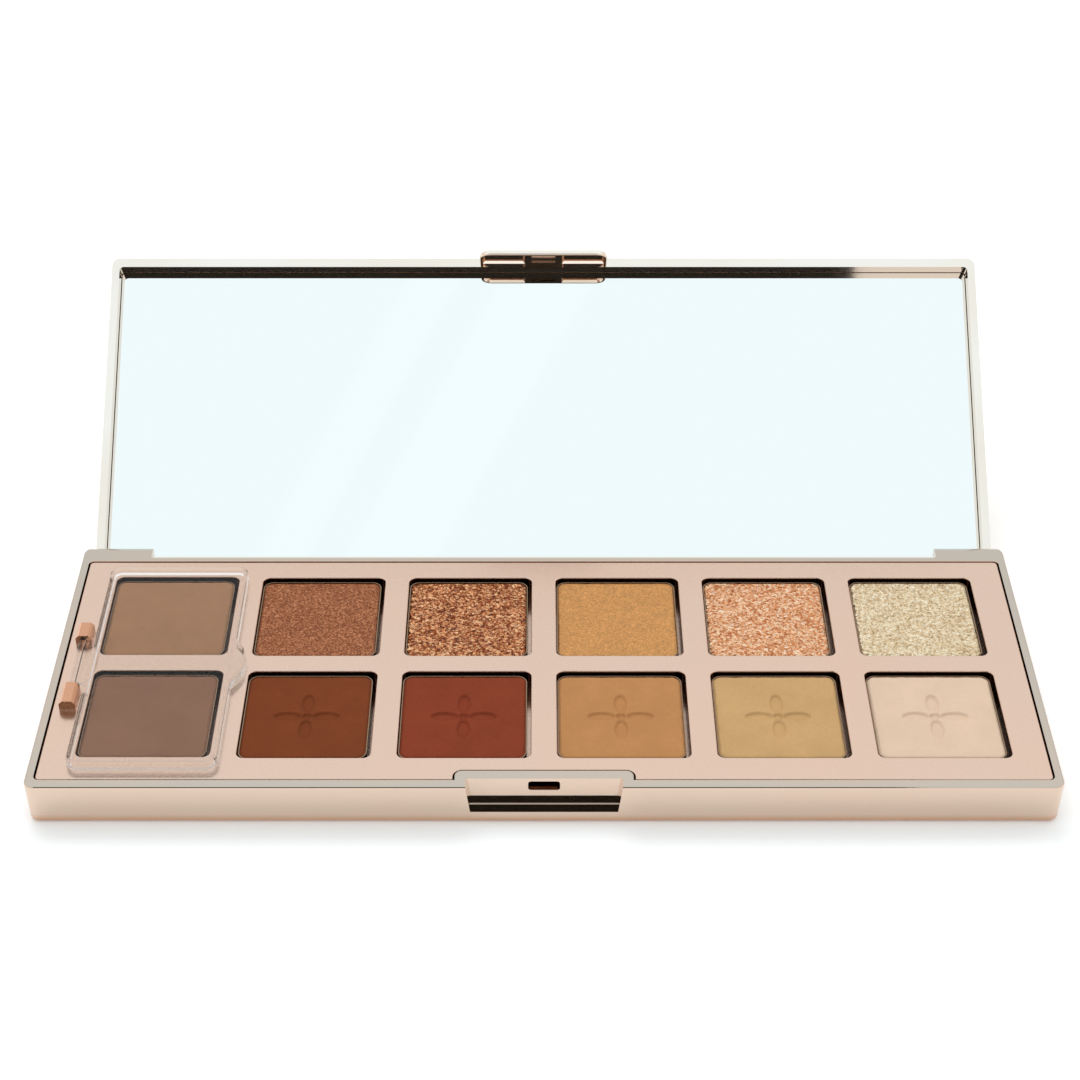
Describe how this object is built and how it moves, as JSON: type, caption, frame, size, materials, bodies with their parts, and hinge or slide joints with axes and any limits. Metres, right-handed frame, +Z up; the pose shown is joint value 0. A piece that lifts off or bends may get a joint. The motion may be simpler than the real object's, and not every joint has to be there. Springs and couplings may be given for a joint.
{
  "type": "eyeshadow palette",
  "caption": "Slim eyeshadow palette: drafted base with a metallised pan tray, square pans of powder and cream, a clear flip cover over the creams and a hinged lid with a full mirror.",
  "frame": {"origin": "centre of the base's underside", "axes": "+X to the user's right along the palette, +Y from the thumb recess to the hinge, +Z up through the pans; the lid stands open at rest"},
  "size_m": [0.172, 0.1194, 0.0444],
  "materials": {
    "base_shell": "pearlescent champagne moulding",
    "tray_insert": "satin rose-gold metallised plastic",
    "lid_shell": "pearlescent champagne moulding",
    "steel": "bright",
    "pan_metal": "satin",
    "glue": "soft",
    "mirror": "polished",
    "tape": "matt",
    "cover": "clear moulding",
    "shade_front_1": "cream",
    "shade_front_2": "matt pressed powder",
    "shade_front_3": "matt pressed powder",
    "shade_front_4": "matt pressed powder",
    "shade_front_5": "matt pressed powder",
    "shade_front_6": "matt pressed powder",
    "shade_back_1": "cream",
    "shade_back_2": "satin pressed powder",
    "shade_back_3": "coarse glitter",
    "shade_back_4": "satin pressed powder",
    "shade_back_5": "fine glitter",
    "shade_back_6": "fine glitter"
  },
  "bodies": {
    "base": {"base_shell": "base_shell", "tray_insert": "tray_insert", "glue_dots": "glue", "hinge_pin_left": "steel", "hinge_pin_right": "steel", "pan_front_1": "pan_metal", "pan_front_2": "pan_metal", "pan_front_3": "pan_metal", "pan_front_4": "pan_metal", "pan_front_5": "pan_metal", "pan_front_6": "pan_metal", "pan_back_1": "pan_metal", "pan_back_2": "pan_metal", "pan_back_3": "pan_metal", "pan_back_4": "pan_metal", "pan_back_5": "pan_metal", "pan_back_6": "pan_metal", "shade_front_1": "shade_front_1", "shade_front_2": "shade_front_2", "shade_front_3": "shade_front_3", "shade_front_4": "shade_front_4", "shade_front_5": "shade_front_5", "shade_front_6": "shade_front_6", "shade_back_1": "shade_back_1", "shade_back_2": "shade_back_2", "shade_back_3": "shade_back_3", "shade_back_4": "shade_back_4", "shade_back_5": "shade_back_5", "shade_back_6": "shade_back_6"},
    "lid": {"lid_shell": "lid_shell", "mirror": "mirror", "mirror_tape": "tape"},
    "cover": {"cream_cover": "cover"}
  },
  "joints": [
    {"name": "lid_hinge", "type": "hinge", "parent": "base", "child": "lid", "pos_m": [0, 0.0314, 0.0052], "axis": [1, 0, 0], "range_deg": [0, 142.75]},
    {"name": "cover_hinge", "type": "hinge", "parent": "base", "child": "cover", "pos_m": [-0.0816, -0.0021, 0.0093], "axis": [0, -1, 0], "range_deg": [0, 2.5]}
  ]
}
